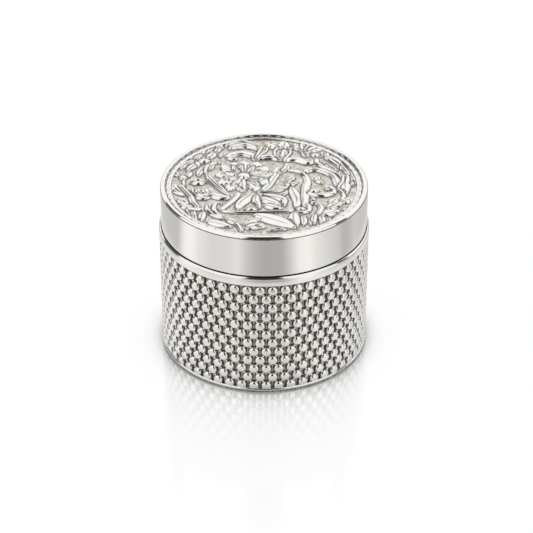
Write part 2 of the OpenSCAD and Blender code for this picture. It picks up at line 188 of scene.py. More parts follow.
def chased_silver():
    """Silver, cast and chased: buffed high points, a fine matt ground stippled with a punch, and
    brown-black oxide along the feet of the leaves."""
    material, tree = new_material("chased silver")
    place = add(tree, "ShaderNodeTexCoord").outputs["Object"]
    ground = add(tree, "ShaderNodeAttribute", attribute_name="ground").outputs["Fac"]

    patches = add(
        tree, "ShaderNodeTexNoise", {"Vector": place, "Scale": 1 / (0.9 * MM), "Detail": 4}
    )
    dulled = add(tree, "ShaderNodeMapRange", [patches, 0.38, 0.64, 0.0, 1.0])
    shades = {"Factor": dulled, "A": linear("#FBFAF5"), "B": linear("#D4C8B7")}
    matt = add(tree, "ShaderNodeMix", shades, data_type="RGBA")
    shades = {"Factor": ground, "A": linear("#F8F7F4"), "B": matt}
    bright = add(tree, "ShaderNodeMix", shades, data_type="RGBA")
    colour, oxide_and_shade = tarnished_and_shaded(tree, place, bright, "#352313", 0.6)
    gloss = add(tree, "MULTIPLY_ADD", [ground, 0.22, 0.12])
    gloss = add(tree, "MULTIPLY_ADD", [oxide_and_shade, 0.3, gloss])

    # Punch marks about 0.25 mm across, on the ground only
    punch = add(tree, "ShaderNodeTexVoronoi", {"Vector": place, "Scale": 1 / (0.25 * MM)})
    depth = add(tree, "MULTIPLY", [punch, ground])
    relief = add(tree, "ShaderNodeBump", {"Height": depth, "Strength": 0.7, "Distance": 0.1 * MM})
    look = {"Base Color": colour, "Metallic": 1.0, "Roughness": gloss, "Normal": relief}
    shader = add(tree, "ShaderNodeBsdfPrincipled", look)
    add(tree, "ShaderNodeOutputMaterial", {"Surface": shader})
    return material


def velvet():
    """Cotton velvet: a deep wine pile that is dark face on, pale where it is seen edge on, and
    brushed into soft patches."""
    material, tree = new_material("cotton velvet")
    place = add(tree, "ShaderNodeTexCoord").outputs["Object"]
    brushed = add(tree, "ShaderNodeTexNoise", {"Vector": place, "Scale": 1 / (5 * MM), "Detail": 3})
    shades = {"Factor": brushed, "A": linear("#4A0F1B"), "B": linear("#6B1626")}
    colour = add(tree, "ShaderNodeMix", shades, data_type="RGBA")
    # Tufts 0.25 mm apart, coarser than real pile so that they show
    pile = add(tree, "ShaderNodeTexNoise", {"Vector": place, "Scale": 1 / (0.25 * MM), "Detail": 2})
    relief = add(tree, "ShaderNodeBump", {"Height": pile, "Strength": 0.5, "Distance": 0.12 * MM})
    look = {
        "Base Color": colour,
        "Roughness": 0.9,
        "Sheen Weight": 0.7,
        "Sheen Roughness": 0.35,
        "Sheen Tint": linear("#C9788A"),
        "Normal": relief,
    }
    shader = add(tree, "ShaderNodeBsdfPrincipled", look)
    add(tree, "ShaderNodeOutputMaterial", {"Surface": shader})
    return material


SILVER = polished_silver()
# The dark brown of cast silver is oxide in the hollows and painted shade round each bead's foot.
CAST = cast_silver("cast silver", "#5E4A38")
CAST_GROUND = cast_silver("cast silver ground", "#F8EADA")
CHASED = chased_silver()
VELVET = velvet()

# ------------------------ making pieces


def piece_from(name, points, faces, material, tarnish_and_shade=None, ground=None, sharp=40):
    """A mesh object from points in mm, its faces turned outwards and shaded smooth, with a hard
    edge wherever two faces meet at more than the given angle."""
    mesh = bpy.data.meshes.new(name)
    mesh.from_pydata((np.asarray(points) * MM).tolist(), [], faces)
    for label, values in (("tarnish_and_shade", tarnish_and_shade), ("ground", ground)):
        if values is not None:
            mesh.attributes.new(label, "FLOAT", "POINT").data.foreach_set(
                "value", np.asarray(values, dtype=np.float32)
            )
    shape = bmesh.new()
    shape.from_mesh(mesh)
    bmesh.ops.recalc_face_normals(shape, faces=shape.faces)
    shape.to_mesh(mesh)
    shape.free()
    mesh.polygons.foreach_set("use_smooth", [True] * len(mesh.polygons))
    if sharp:
        mesh.set_sharp_from_angle(angle=math.radians(sharp))
    mesh.materials.append(material)
    piece = bpy.data.objects.new(name, mesh)
    bpy.context.scene.collection.objects.link(piece)
    return piece


def arc(middle_r, middle_z, radius, start, end, steps=8):
    """Points of a rounding in a section, with the angles in degrees from straight out."""
    turns = np.radians(np.linspace(start, end, steps + 1))
    return [(middle_r + radius * math.cos(a), middle_z + radius * math.sin(a)) for a in turns]


def turned(name, section, material, segments=256, tarnish_and_shade=None, sharp=40):
    """Turns a section of (radius, height) points about the upright axis. A section that begins
    and ends on the axis makes a disc, and any other is closed and makes a ring."""
    solid = section[0][0] == 0
    angles = np.arange(segments) * 2 * math.pi / segments
    points, rows, oxide_and_shade = [], [], []
    for i, (radius, height) in enumerate(section):
        start = len(points)
        if radius == 0:
            points.append((0, 0, height))
            rows.append([start] * segments)
        else:
            points += [(radius * math.cos(a), radius * math.sin(a), height) for a in angles]
            rows.append(list(range(start, start + segments)))
        oxide_and_shade += [tarnish_and_shade(radius, height) if tarnish_and_shade else 0.0] * (len(points) - start)
    faces = []
    pairs = zip(rows, rows[1:] if solid else rows[1:] + rows[:1])
    for low, high in pairs:
        for k in range(segments):
            after = (k + 1) % segments
            corners = [low[k], low[after], high[after], high[k]]
            faces.append(list(dict.fromkeys(corners)))
    return piece_from(name, points, faces, material, tarnish_and_shade=oxide_and_shade, sharp=sharp)


def place_piece(piece, body, slot, *nodes):
    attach(piece, body)
    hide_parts(*nodes)


def between(low, high, value):
    """A smooth step of value from 0 at low to 1 at high."""
    share = np.clip((value - low) / (high - low), 0, 1)
    return share * share * (3 - 2 * share)


# ------------------------ the plain turned pieces


def base_oxide_and_shade(r, z):
    """A dark line of painted shade lies along the foot of the edge, and a little oxide on top under
    the beads.
    """
    if z == BASE_T and r < BASE_R - 0.5:
        return 0.3
    # The foot of the edge is dark as painted shade.
    return 0.8 if z < BASE_ROUND + 0.01 else 0.1


base_plate = turned(
    "base_plate_silver",
    [(0, 0), (10, 0), (BASE_R - BASE_ROUND - 0.3, 0)]
    + arc(BASE_R - BASE_ROUND, BASE_ROUND, BASE_ROUND, -90, 0)
    + arc(BASE_R - BASE_ROUND, BASE_T - BASE_ROUND, BASE_ROUND, 0, 90)
    + [(BASE_R - 0.6, BASE_T), (BASE_R - 1.2, BASE_T), (18, BASE_T), (0, BASE_T)],
    SILVER,
    tarnish_and_shade=base_oxide_and_shade,
)
place_piece(base_plate, "box", "polished_silver", "base_plate")


# How far the painted shade of the seam reaches in under the lid
SEAM_WIDTH = 0.3


def collar_oxide_and_shade(r, z):
    """Painted shade fills the seam under the lid's edge, and oxide lies in the corner at the foot
    of the neck and on the underside that the beads meet."""
    if z == COLLAR_Z:
        return 0.8 if r < BODY_R - 0.5 else 0.0
    # The top of the rounding next to the seam is painted shade.
    if z < BODY_H:
        return 0.8 if z > BODY_H - 0.02 else 0.0
    # The seam under the lid's edge is painted shade, and the corner at the foot of the neck is
    # oxide.
    if r > LID_R - SEAM_WIDTH - 0.01:
        return 0.95
    return 0.6 if r < NECK_R + 0.1 else 0.06


body_collar = turned(
    "body_collar_silver",
    [(DRUM_BORE_R, COLLAR_Z), (BODY_R - 1.0, COLLAR_Z), (BODY_R - 0.08, COLLAR_Z)]
    + arc(BODY_R - 0.08, COLLAR_Z + 0.08, 0.08, -60, 0, 3)
    + arc(BODY_R - COLLAR_ROUND, BODY_H - COLLAR_ROUND, COLLAR_ROUND, 0, 86, 12)
    + [(LID_R, BODY_H), (LID_R - SEAM_WIDTH, BODY_H), (LID_R - 1.5 * SEAM_WIDTH, BODY_H)]
    + [(NECK_R + 0.25, BODY_H), (DRUM_BORE_R, BODY_H)],
    SILVER,
    tarnish_and_shade=collar_oxide_and_shade,
)
place_piece(body_collar, "box", "polished_silver", "body_collar")

LIP_R = (NECK_R - NECK_BORE_R) / 2
neck_sleeve = turned(
    "neck_sleeve_silver",
    [(NECK_BORE_R, BASE_T), (NECK_R, BASE_T), (NECK_R, BODY_H), (NECK_R, BODY_H + 0.4)]
    + arc(NECK_BORE_R + LIP_R, NECK_TOP - LIP_R, LIP_R, 0, 180, 16),
    SILVER,
    tarnish_and_shade=lambda r, z: 0.5 if z == BODY_H else 0.0,
)
place_piece(neck_sleeve, "box", "polished_silver", "neck_sleeve")


def band_seam_shade(r, z):
    """Painted shade of the seam reaches up round the lower edge of the band."""
    return 0.95 * float(between(BODY_H + 0.32, BODY_H + 0.2, z)) if r > LID_BORE_R else 0.0


lid_band = turned(
    "lid_band_silver",
    [(LID_BORE_R, BODY_H), (LID_R - LID_ROUND, BODY_H)]
    + arc(LID_R - LID_ROUND, BODY_H + LID_ROUND, LID_ROUND, -90, 0, 12)
    + [(LID_R, BODY_H + 0.6), (LID_R, BAND_TOP), (LID_BORE_R, BAND_TOP)],
    SILVER,
    tarnish_and_shade=band_seam_shade,
)
place_piece(lid_band, "lid", "polished_silver", "lid_band")

lid_backing = turned(
    "lid_backing_silver",
    [(0, BACKING_Z), (BACKING_R - 0.05, BACKING_Z), (BACKING_R, BACKING_Z + 0.05)]
    + [(BACKING_R, BAND_TOP - 0.02), (0, BAND_TOP - 0.02)],
    SILVER,
)
place_piece(lid_backing, "lid", "polished_silver", "lid_backing")

# A fine line of painted shade runs round the rim at this height, under its rounding.
RIM_LINE_Z = LID_TOP - RIM_SOFT


def rim_oxide_and_shade(r, z):
    """A fine line of painted shade lies under the rim's rounding, and oxide at its foot beside the
    border.
    """
    if r <= BORDER_R:
        return 0.3 if z < PLATE_TOP + 0.25 else 0.0
    return 0.85 if r > RIM_R - 0.02 and abs(z - RIM_LINE_Z) < 0.1 else 0.0


lid_rim = turned(
    "lid_rim_silver",
    [(PLATE_R + SOLDER_GAP, BAND_TOP), (RIM_R, BAND_TOP), (RIM_R, BAND_TOP + 0.1)]
    + [(RIM_R, RIM_LINE_Z - 0.12), (RIM_R, RIM_LINE_Z - 0.07)]
    + arc(RIM_R - RIM_SOFT, LID_TOP - RIM_SOFT, RIM_SOFT, 0, 90, 16)
    + arc(BORDER_R + RIM_LIP, LID_TOP - RIM_LIP, RIM_LIP, 90, 180, 4)
    + [(BORDER_R, PLATE_TOP + 0.2), (BORDER_R, PLATE_TOP), (PLATE_R + SOLDER_GAP, PLATE_TOP)],
    SILVER,
    tarnish_and_shade=rim_oxide_and_shade,
)
place_piece(lid_rim, "lid", "polished_silver", "lid_rim")

# ------------------------ rows of repeats


def repeats_tree():
    """Geometry nodes that set rows of a shape round the upright axis. Stagger is the share of a
    step by which every second row is turned."""
    tree = bpy.data.node_groups.new("rows of repeats", "GeometryNodeTree")
    inputs = {
        "NodeSocketGeometry": ("Shape",),
        "NodeSocketInt": ("Rows", "In a row"),
        "NodeSocketFloat": ("Row pitch", "Top row", "Radius", "First turn", "Lean", "Stagger"),
        "NodeSocketMaterial": ("Finish",),
    }
    for kind, names in inputs.items():
        for name in names:
            tree.interface.new_socket(name, in_out="INPUT", socket_type=kind)
    tree.interface.new_socket("Pieces", in_out="OUTPUT", socket_type="NodeSocketGeometry")
    given = add(tree, "NodeGroupInput").outputs

    # The shapes are numbered along each row, and the rows from the top down.
    index = add(tree, "GeometryNodeInputIndex")
    middle = add(tree, "ADD", [index, 0.5])
    row = add(tree, "DIVIDE", [middle, given["In a row"]])
    row = add(tree, "FLOOR", [row])
    before = add(tree, "MULTIPLY", [row, given["In a row"]])
    column = add(tree, "SUBTRACT", [index, before])

    # Every second row is staggered, and each step is an equal share of the turn.
    odd = add(tree, "MODULO", [row, 2.0])
    steps = add(tree, "MULTIPLY_ADD", [odd, given["Stagger"], column])
    step = add(tree, "DIVIDE", [2 * math.pi, given["In a row"]])
    turn = add(tree, "MULTIPLY_ADD", [steps, step, given["First turn"]])
    drop = add(tree, "MULTIPLY", [row, given["Row pitch"]])
    height = add(tree, "SUBTRACT", [given["Top row"], drop])
    out = add(tree, "ShaderNodeCombineXYZ", {"X": given["Radius"], "Z": height})
    turned_out = {"Vector": out, "Angle": turn}
    place = add(tree, "ShaderNodeVectorRotate", turned_out, rotation_type="Z_AXIS")

    count = add(tree, "MULTIPLY", [given["Rows"], given["In a row"]])
    points = add(tree, "GeometryNodePoints", {"Count": count, "Position": place})
    facing = add(tree, "ShaderNodeCombineXYZ", {"Y": given["Lean"], "Z": turn})
    shapes = {"Points": points, "Instance": given["Shape"], "Rotation": facing}
    rows = add(tree, "GeometryNodeInstanceOnPoints", shapes)
    real = add(tree, "GeometryNodeRealizeInstances", {"Geometry": rows})
    joined = add(tree, "GeometryNodeMergeByDistance", {"Geometry": real, "Distance": 0.001 * MM})
    finished = {"Geometry": joined, "Material": given["Finish"]}
    finished = add(tree, "GeometryNodeSetMaterial", finished)
    add(tree, "NodeGroupOutput", {"Pieces": finished})
    return tree


REPEATS = repeats_tree()


def repeated(shape, **values):
    """Runs the tree on a shape and turns the result into the shape's own plain mesh. An input
    that isn't named stays 0."""
    modifier = shape.modifiers.new("rows", "NODES")
    modifier.node_group = REPEATS
    sockets = {s.name: s.identifier for s in REPEATS.interface.items_tree if s.in_out == "INPUT"}
    for name, value in values.items():
        modifier[sockets[name.replace("_", " ")]] = value
    held = bpy.context.evaluated_depsgraph_get()
    result = bpy.data.meshes.new_from_object(shape.evaluated_get(held))
    shape.modifiers.remove(modifier)
    shape.data = result
    return shape


# A bead is a flattened dome on a short round shank that is sunk in the wall of the drum. Heights
# are above the bead's seat, at SEAT_R.
BEAD_SIDES = 12
BEAD_FACE_R = 1.09
BEAD_CROWN = 0.52
BEAD_FOOT = -0.25
# The ground between the beads stands above their seats, where the metal filled in, and a ring of
# thick oxide lies on it round each shank, dark enough that it is also painted shade.
GROUND_R = 21.45
SHADE_AND_OXIDE_RING = 0.13
# Levels of the dome from its middle: shares of the radius and of the crown's depth
BEAD_LEVELS = ((0.50, 0.05), (0.74, 0.22), (0.92, 0.58), (1.0, 1.0))


def bead_shape():
    """A dome whose edge is outlined in oxide that is also painted shade."""
    ring_z = GROUND_R - SEAT_R + 0.03
    stand = BODY_R - SEAT_R
    edge_z = stand - BEAD_CROWN
    levels = [(0.0, stand)]
    levels += [(BEAD_FACE_R * out, stand - BEAD_CROWN * down) for out, down in BEAD_LEVELS]
    levels += [(BEAD_FACE_R, ring_z), (BEAD_FACE_R + SHADE_AND_OXIDE_RING, ring_z)]
    levels += [(BEAD_FACE_R + SHADE_AND_OXIDE_RING, ring_z - 0.2), (0.0, BEAD_FOOT)]
    levels.reverse()
    return turned(
        "bead_drum_silver",
        levels,
        CAST,
        segments=BEAD_SIDES,
        tarnish_and_shade=lambda r, z: 1.0 if z <= ring_z else 0.7 * float(between(edge_z + 0.2, edge_z, z)),
        sharp=0,
    )


beads = repeated(
    bead_shape(),
    Rows=BEAD_ROWS,
    In_a_row=BEADS_PER_ROW,
    Row_pitch=ROW_PITCH * MM,
    Top_row=TOP_ROW_Z * MM,
    Radius=SEAT_R * MM,
    First_turn=math.radians(BEAD_TURN),
    Lean=math.pi / 2,
    Stagger=0.5,
    Finish=CAST,
)
place_piece(beads, "box", "polished_silver", "bead_drum")

# Where neighbouring beads meet, a small bright nub of metal joins them.
NUB_SIDES = 8
NUB_R = 0.24
NUB_STAND = 1.12


def nub_shape():
    levels = [(0.0, -0.1), (NUB_R, -0.1), (NUB_R, NUB_STAND - 0.12)]
    levels += [(0.65 * NUB_R, NUB_STAND - 0.03), (0.0, NUB_STAND)]
    return turned(
        "bead_nubs_silver",
        levels,
        CAST,
        segments=NUB_SIDES,
        tarnish_and_shade=lambda r, z: 0.8 if z < 0 else 0.0,
        sharp=0,
    )


nubs = repeated(
    nub_shape(),
    Rows=BEAD_ROWS - 1,
    In_a_row=2 * BEADS_PER_ROW,
    Row_pitch=ROW_PITCH * MM,
    Top_row=(TOP_ROW_Z - ROW_PITCH / 2) * MM,
    Radius=SEAT_R * MM,
    First_turn=math.radians(BEAD_TURN) + math.pi / (2 * BEADS_PER_ROW),
    Lean=math.pi / 2,
    Finish=CAST,
)
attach(nubs, "box")

drum_wall = turned(
    "drum_wall_silver",
    [(DRUM_BORE_R, BASE_T), (GROUND_R, BASE_T), (GROUND_R, COLLAR_Z), (DRUM_BORE_R, COLLAR_Z)],
    CAST_GROUND,
    tarnish_and_shade=lambda r, z: 0.7,
)
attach(drum_wall, "box")

# ------------------------ the relief on the lid

# Leaves, stems, curls and petals, each as its greatest width and the points that its middle line
# runs through from foot to tip, x and y by turns, in mm from the middle of the lid.
LEAVES = (
    # upper left
    (1.6, -8.6, 16.2, -7.4, 17.8, -4.8, 18.5, -2.6, 17.6, -1.5, 15.8),
    (2.5, -7.9, 15.2, -6.2, 16.3, -4.0, 16.8, -2.4, 16.0, -1.4, 14.6),
    (1.8, -13.9, 12.3, -13.4, 14.2, -11.8, 15.9),
    (1.7, -12.4, 12.8, -11.6, 14.2, -10.4, 15.6),
    (1.5, -10.6, 13.4, -9.9, 15.2, -8.5, 15.9),
    (1.4, -10.4, 15.4, -9.7, 16.6, -9.2, 18.2),
    (2.1, -12.2, 11.0, -11.4, 12.3, -10.4, 13.6),
    (1.6, -15.6, 10.2, -15.3, 11.8, -14.6, 13.4),
    (1.5, -14.9, 10.4, -14.2, 12.0, -13.2, 12.9),
    (1.9, -17.9, 6.3, -17.0, 8.4, -15.0, 9.7, -12.8, 8.9),
    (1.8, -16.4, 5.4, -15.6, 7.2, -14.4, 8.6, -13.0, 9.4),
    (1.5, -19.2, 5.9, -18.7, 4.6, -17.9, 3.4),
    (1.5, -15.5, 5.6, -16.0, 4.2, -16.4, 2.6),
    (1.6, -13.9, 3.5, -13.6, 5.6, -12.4, 7.9),
    (1.7, -12.3, 5.4, -11.5, 2.8, -10.3, 0.4, -8.9, -1.8, -7.0, -4.7),
    (1.3, -11.6, 6.0, -11.3, 7.5, -10.6, 8.9),
    # palmette and its neighbours, upper right
    (2.8, 3.2, 15.4, 1.9, 17.0, 0.2, 17.2),
    (2.8, 3.6, 15.5, 4.3, 17.1, 4.0, 18.8),
    (1.8, 3.9, 10.9, 4.4, 12.9, 4.3, 15.2),
    (2.5, -1.7, 10.7, 0.2, 11.6, 2.0, 11.5, 3.8, 10.1),
    (2.2, 8.3, 14.4, 7.4, 16.2, 6.2, 17.6),
    (1.5, 8.4, 14.4, 8.5, 16.2, 8.1, 18.1),
    (1.8, 8.8, 14.4, 9.8, 15.9, 9.8, 17.6),
    (2.5, 9.6, 13.9, 11.0, 15.2, 12.8, 15.0),
    (1.3, 12.3, 14.2, 12.4, 12.9, 11.9, 11.6),
    (1.4, 9.3, 14.2, 9.2, 13.0, 9.8, 11.8),
    (1.5, 12.6, 9.9, 13.9, 8.0, 15.8, 5.8),
    (2.5, 12.6, 12.2, 14.6, 10.8, 16.3, 8.2, 17.2, 5.4),
    (1.5, 16.4, 8.2, 17.2, 6.2, 18.3, 4.0),
    (1.5, 16.0, 12.2, 17.4, 9.8, 18.5, 6.4),
    (2.4, 17.6, 4.2, 17.4, 1.2, 17.2, -1.2, 17.4, -3.9),
    (1.3, 18.7, 3.6, 19.0, 1.6, 18.8, -0.8),
    # round the stem of the flower
    (2.3, 2.0, 3.8, 2.9, 5.6, 3.2, 7.6),
    (1.6, 3.6, 5.0, 4.8, 7.2, 4.7, 9.2),
    (1.4, -1.6, -3.0, 1.0, -2.6, 3.5, -2.1, 5.4, -0.4),
    (1.5, -1.6, -3.7, 1.5, -4.3, 4.0, -3.9, 5.6, -1.6),
    (2.4, 5.6, -0.8, 6.4, -3.6, 7.0, -6.4, 6.5, -10.0),
    (2.3, -1.2, -4.3, 1.6, -4.8, 3.9, -6.0, 4.4, -8.8),
    (2.5, -1.0, -5.2, 0.8, -6.4, 3.6, -8.4),
    (2.1, -0.2, -8.0, 1.6, -9.0, 3.9, -9.7),
    (2.5, 6.3, -11.0, 6.2, -13.6, 6.7, -17.2),
    (3.8, -2.2, -12.0, 1.0, -13.4, 4.0, -15.2, 6.6, -17.4),
    (1.7, 8.9, -4.6, 10.0, -5.9, 10.4, -7.5),
    # lower right
    (1.4, 9.7, -11.8, 9.1, -13.9, 9.7, -16.3),
    (1.4, 10.7, -11.6, 10.2, -13.8, 10.4, -16.0),
    (1.5, 11.4, -12.4, 12.0, -14.0, 11.4, -15.6),
    (1.4, 7.7, -12.4, 8.3, -14.2, 8.0, -16.6),
    (2.6, 11.5, -12.0, 13.4, -11.3, 15.6, -10.6),
    (2.4, 13.1, -9.9, 14.4, -8.5, 16.4, -7.3),
    (2.1, 13.9, -7.9, 14.4, -6.7, 15.4, -5.6),
    (2.3, 16.0, -7.2, 17.4, -6.3, 18.9, -5.6),
    (1.4, 17.9, -8.0, 17.2, -9.3, 16.0, -10.3),
    # lower left
    (2.3, -19.2, 0.4, -18.3, -2.2, -16.2, -4.6),
    (1.7, -15.3, -1.4, -14.7, -3.9, -13.1, -5.4, -10.9, -5.4),
    (1.5, -14.1, -1.4, -13.5, -3.4, -12.0, -4.8),
    (1.7, -12.3, -1.2, -12.2, -3.0, -11.3, -4.6),
    (2.4, -11.4, -3.6, -9.4, -4.9, -6.8, -5.5),
    (2.5, -1.9, -3.8, -3.8, -6.0, -5.0, -8.2, -5.5, -10.5),
    (1.8, -1.5, -4.0, -1.6, -6.6, -0.6, -9.6),
    (2.2, -11.7, -7.3, -11.1, -9.8, -9.9, -12.1, -8.1, -13.8),
    (1.9, -18.2, -7.2, -16.6, -8.8, -14.6, -9.4, -12.3, -10.5),
    (1.9, -18.4, -5.6, -16.9, -6.6, -15.6, -8.4),
    (1.7, -12.3, -10.7, -12.7, -12.8, -12.5, -14.8),
    (1.3, -14.3, -10.4, -14.4, -12.2, -13.6, -14.0),
    (1.1, -15.8, -9.8, -15.9, -11.2, -15.0, -12.6),
    (2.4, -11.8, -14.5, -9.2, -15.6, -6.4, -16.9),
    (1.8, -7.9, -13.4, -6.7, -14.4, -5.4, -15.9),
    (2.1, -0.8, -13.9, -2.6, -14.6, -4.2, -16.0),
    (2.4, -3.8, -17.5, -1.8, -16.5, 0.6, -16.8),
    (1.4, 0.6, -18.3, 2.5, -17.7, 4.8, -17.8),
    # small leaves inside the curls
    (1.6, 12.6, 0.6, 11.3, 2.0, 11.9, 3.7),
    (1.6, 4.4, 1.2, 5.8, 2.6, 6.2, 4.2),
    (1.5, 4.2, 0.6, 5.8, 0.2, 7.2, 1.2),
    (1.1, -14.6, 10.6, -14.2, 9.0, -14.0, 7.4),
    (1.3, 13.2, 13.8, 13.6, 12.8, 13.2, 11.6),
    (1.1, 13.2, -14.2, 14.3, -13.4, 15.2, -12.4),
)
STEMS = (
    (0.7, -1.9, 10.6, -1.5, 12.6, -1.0, 14.6, -0.4, 16.4),
    (0.6, -1.6, 10.8, -0.8, 12.6, 0.4, 14.4, 0.8, 16.0),
    (0.7, -17.0, 2.2, -16.9, 0.4, -16.6, -1.4),
    (0.8, -9.2, 9.4, -10.9, 9.0, -12.2, 7.8, -12.5, 5.6, -12.1, 4.2),
    (0.7, -15.6, 0.4, -14.7, 1.8, -13.4, 2.0, -12.1, 0.9),
    (0.65, 3.7, 10.1, 2.6, 12.2, 2.3, 14.2, 3.0, 15.9),
    (0.65, 4.1, 10.1, 5.1, 12.2, 5.8, 14.0, 5.2, 15.8),
    (0.7, 5.8, 15.4, 7.0, 15.2, 8.1, 13.6, 8.8, 11.6),
    (1.1, 11.3, 11.0, 11.5, 9.2, 12.6, 7.6, 14.4, 6.0, 15.8, 4.0, 16.5, 2.2),
    (1.7, 8.4, 5.2, 10.0, 6.3, 12.2, 6.0, 14.2, 4.3, 15.3, 1.9, 15.6, -0.8),
    (0.7, 16.9, 3.6, 16.6, 1.4, 15.9, -0.2, 15.5, -1.6),
    (0.9, 15.5, -1.6, 16.4, -3.2, 16.7, -4.6, 16.1, -6.2),
    (1.6, -0.4, -2.4, 0.9, -0.4, 1.8, 2.2, 2.7, 4.8),
    (0.9, -8.8, -10.6, -5.0, -11.2, 0.0, -11.0, 4.0, -10.8, 6.2, -10.5),
    (1.1, 6.6, -11.2, 8.2, -11.2, 9.2, -10.4, 9.4, -8.8, 8.8, -7.9),
    (1.3, 9.6, -7.4, 11.0, -7.5, 11.8, -9.0, 11.5, -10.6, 10.9, -12.0),
    (1.4, -17.6, -0.2, -16.6, -2.4, -15.2, -5.0, -14.6, -7.2, -13.6, -9.4),
    (1.3, -5.2, -3.4, -6.1, -5.6, -7.5, -7.9, -9.2, -10.4),
    (1.1, -5.6, -15.4, -5.0, -16.8, -4.4, -18.5),
)
CURLS = (
    (2.4, -1.8, 10.3, -2.6, 12.3, -4.4, 13.3, -6.5, 13.0, -7.6, 11.9, -7.0, 10.8, -5.6, 10.8),
    (2.3, 4.2, 9.9, 5.6, 10.7, 7.4, 10.6, 9.2, 9.4, 10.4, 9.4, 10.5, 10.5),
    (1.9, 8.5, -10.0, 8.6, -5.0, 8.8, -1.0, 9.2, 1.4, 8.8, 3.6, 7.4, 5.4, 5.0, 6.1),
    (1.6, 8.9, -3.2, 10.4, -4.0, 12.6, -4.2, 14.4, -3.3, 14.7, -1.8, 13.6, -0.8),
    (1.1, -8.4, -13.0, -9.6, -11.6, -10.3, -9.8, -10.1, -7.9, -9.2, -7.3, -8.6, -8.2),
)
OUTER_PETALS = (
    (3.0, -5.0, 5.4, -6.2, 7.6, -6.6, 9.4),
    (3.2, -4.1, 5.4, -4.2, 7.8, -4.2, 9.8),
    (3.2, -3.0, 5.2, -1.9, 7.4, -1.4, 9.5),
    (3.0, -2.6, 4.4, -0.6, 6.0, 1.0, 7.3),
    (3.0, -2.4, 3.6, 0.0, 4.0, 1.9, 4.6),
    (3.0, -2.6, 2.6, -0.6, 1.6, 0.9, 0.2),
    (2.8, -3.4, 1.8, -2.0, -0.4, -1.4, -2.6),
    (2.8, -4.6, 1.8, -4.8, -0.6, -3.9, -3.0),
    (2.8, -5.6, 2.2, -6.8, 0.2, -7.2, -2.6),
    (3.0, -6.2, 3.0, -8.0, 1.6, -9.6, 0.2),
    (3.0, -6.4, 4.0, -8.6, 4.2, -10.4, 4.0),
    (3.0, -6.0, 5.0, -7.8, 6.6, -9.2, 7.8),
)
INNER_PETALS = (
    (1.4, -4.5, 4.6, -5.0, 6.6, -4.7, 8.6),
    (1.4, -3.6, 4.4, -2.7, 6.4, -2.1, 8.1),
    (1.4, -3.3, 4.2, -1.6, 5.2, 0.0, 5.3),
    (1.4, -3.3, 3.2, -1.4, 2.4, 0.2, 2.4),
    (1.4, -3.6, 2.8, -1.9, 0.9, -0.9, -0.9),
    (1.6, -4.4, 2.8, -4.5, 0.0, -3.9, -2.4),
    (1.4, -5.0, 2.8, -6.0, 0.8, -6.9, -0.6),
    (1.4, -5.4, 3.4, -7.2, 2.4, -8.3, 2.0),
    (1.4, -5.4, 3.9, -7.4, 4.6, -8.6, 5.0),
    (1.4, -5.0, 4.4, -6.2, 6.4, -6.8, 8.2),
)
# Buds and the flower's boss, as x, y, half length, half width, height and turn in degrees
BUDS = (
    (-12.9, 10.1, 1.4, 0.85, 0.48, 0),
    (-9.4, 12.4, 0.55, 0.8, 0.46, 0),
    (-17.2, 2.9, 0.9, 0.9, 0.48, 0),
    (-13.9, 0.7, 1.5, 0.85, 0.48, 0),
    (11.1, 12.6, 1.05, 0.8, 0.48, 0),
    (10.5, -2.5, 1.1, 0.65, 0.46, 5),
    (13.3, -1.9, 0.55, 0.45, 0.40, 0),
    (7.6, -9.8, 1.1, 0.65, 0.44, 0),
    (-2.6, -10.0, 1.3, 0.5, 0.46, 0),
    (18.6, 0.6, 0.5, 0.8, 0.40, 0),
)
BOSS = (-4.3, 3.7, 1.35, 1.35, 0.56, 0)

MOAT = 0.28  # width of the cut line that sets a form off from the one behind it
LINE = 0.115  # half width of the oxide that lies in that line
CELL = 0.06  # spacing of the grid on which the relief is worked out


def smooth_line(points, count):
    """Points along a smooth curve through given points."""
    p = np.array(points, float)
    ends = np.vstack([2 * p[0] - p[1], p, 2 * p[-1] - p[-2]])
    along = np.linspace(0, len(p) - 1, count)
    span = np.minimum(along.astype(int), len(p) - 2)
    f = (along - span)[:, None]
    a, b, c, d = (ends[span + i] for i in range(4))
    return 0.5 * (
        2 * b + (c - a) * f + (2 * a - 5 * b + 4 * c - d) * f**2 + (3 * b - a - 3 * c + d) * f**3
    )


